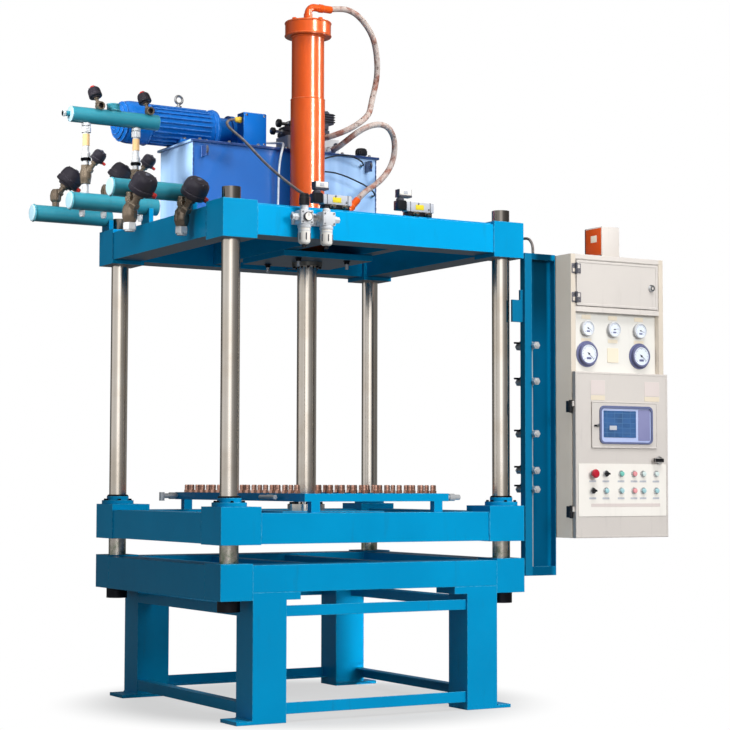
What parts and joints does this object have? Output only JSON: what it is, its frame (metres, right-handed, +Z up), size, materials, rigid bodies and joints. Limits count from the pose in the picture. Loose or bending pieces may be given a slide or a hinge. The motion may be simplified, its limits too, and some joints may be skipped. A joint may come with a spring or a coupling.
{
  "type": "expanded polystyrene shape moulding machine",
  "caption": "Vertical four-column hydraulic moulding press for expanded polystyrene with a sliding platen, filling manifold, power unit, steam pipework and a control cabinet",
  "frame": {"origin": "on the floor in the middle of the four anchor holes of the foot plates", "axes": "+X to the right along the front, +Y to the back, +Z up"},
  "size_m": [2.458, 1.396, 3.036],
  "materials": {
    "frame_blue": "glossy turquoise blue paint on welded steel",
    "column_chrome": "hard chromed and ground, lightly oiled",
    "cylinder_orange": "glossy orange paint",
    "plain_steel": "turned steel with oil film",
    "unit_blue": "glossy cobalt blue paint",
    "bright_steel": "zinc plated steel",
    "dark_castings": "dark grey cast valve bodies",
    "black_plastic": "satin black moulded plastic",
    "hose_cover": "braided hose with worn reddish cover",
    "cable_grey": "corrugated grey conduit",
    "pipe_green": "glossy teal green paint",
    "valve_bronze": "cast bronze, rough with bright ends",
    "cast_silver": "die cast, painted silver",
    "cabinet_cream": "fine textured light grey powder coat",
    "gauge_case": "polished case with white dial",
    "signal_orange": "moulded orange housing with pale front",
    "nipple_brass": "bare copper and brass, tarnished",
    "screen_dark": "dark blue bezel in a cream cover frame",
    "overlay_white": "white printed overlay with blank fields"
  },
  "bodies": {
    "machine": {"front_legs": "frame_blue", "back_legs": "frame_blue", "floor_rails": "frame_blue", "upper_rails": "frame_blue", "bed_corner_blocks": "frame_blue", "bed_long_beams": "frame_blue", "bed_cross_beams": "frame_blue", "guide_columns": "column_chrome", "column_nuts": "dark_castings", "top_corner_blocks": "frame_blue", "top_long_beams": "frame_blue", "top_cross_beams": "frame_blue", "top_deck": "frame_blue", "cylinder_mount_plate": "frame_blue", "cylinder_barrel": "cylinder_orange", "cylinder_cap": "cylinder_orange", "cylinder_gland": "plain_steel", "oil_tank": "unit_blue", "pump_motor": "unit_blue", "motor_cowl": "unit_blue", "pump_housing": "unit_blue", "junction_box": "unit_blue", "valve_block": "bright_steel", "hydraulic_valves": "dark_castings", "tank_breather": "black_plastic", "top_hose": "hose_cover", "low_hose": "hose_cover", "junction_cable": "cable_grey", "thin_tubes": "cable_grey", "supply_pipes": "pipe_green", "upper_pipe": "pipe_green", "riser_pipes": "bright_steel", "pipe_saddles": "frame_blue", "valve_bodies": "valve_bronze", "valve_actuators": "black_plastic", "air_service_unit": "cast_silver", "pneumatic_valves": "cast_silver", "pipe_trunk": "frame_blue", "trunk_pipe": "bright_steel", "trunk_conduit": "cable_grey", "cabinet_posts": "cabinet_cream", "cabinet_shelves": "cabinet_cream", "cabinet_back": "cabinet_cream", "gauge_panel": "cabinet_cream", "pressure_gauges": "gauge_case", "signal_box": "signal_orange"},
    "platen": {"platen_corner_blocks": "frame_blue", "platen_long_beams": "frame_blue", "platen_cross_beams": "frame_blue", "rod_plate": "frame_blue", "guide_bushings": "plain_steel", "piston_rod": "column_chrome", "manifold_long_tubes": "frame_blue", "manifold_side_tubes": "frame_blue", "manifold_fittings": "bright_steel", "manifold_nipples": "nipple_brass"},
    "upper_cabinet_door": {"upper_door": "cabinet_cream"},
    "lower_cabinet_door": {"lower_door": "cabinet_cream", "screen_unit": "screen_dark", "control_buttons": "overlay_white"}
  },
  "joints": [
    {"name": "platen_slide", "type": "slide", "parent": "machine", "child": "platen", "axis": [0, 0, 1], "range_m": [-0.045, 0.65]},
    {"name": "upper_door_hinge", "type": "hinge", "parent": "machine", "child": "upper_cabinet_door", "pos_m": [0.903, -0.728, 1.78], "axis": [0, 0, -1], "range_deg": [0, 110]},
    {"name": "lower_door_hinge", "type": "hinge", "parent": "machine", "child": "lower_cabinet_door", "pos_m": [0.872, -0.726, 1.04], "axis": [0, 0, -1], "range_deg": [0, 110]}
  ]
}
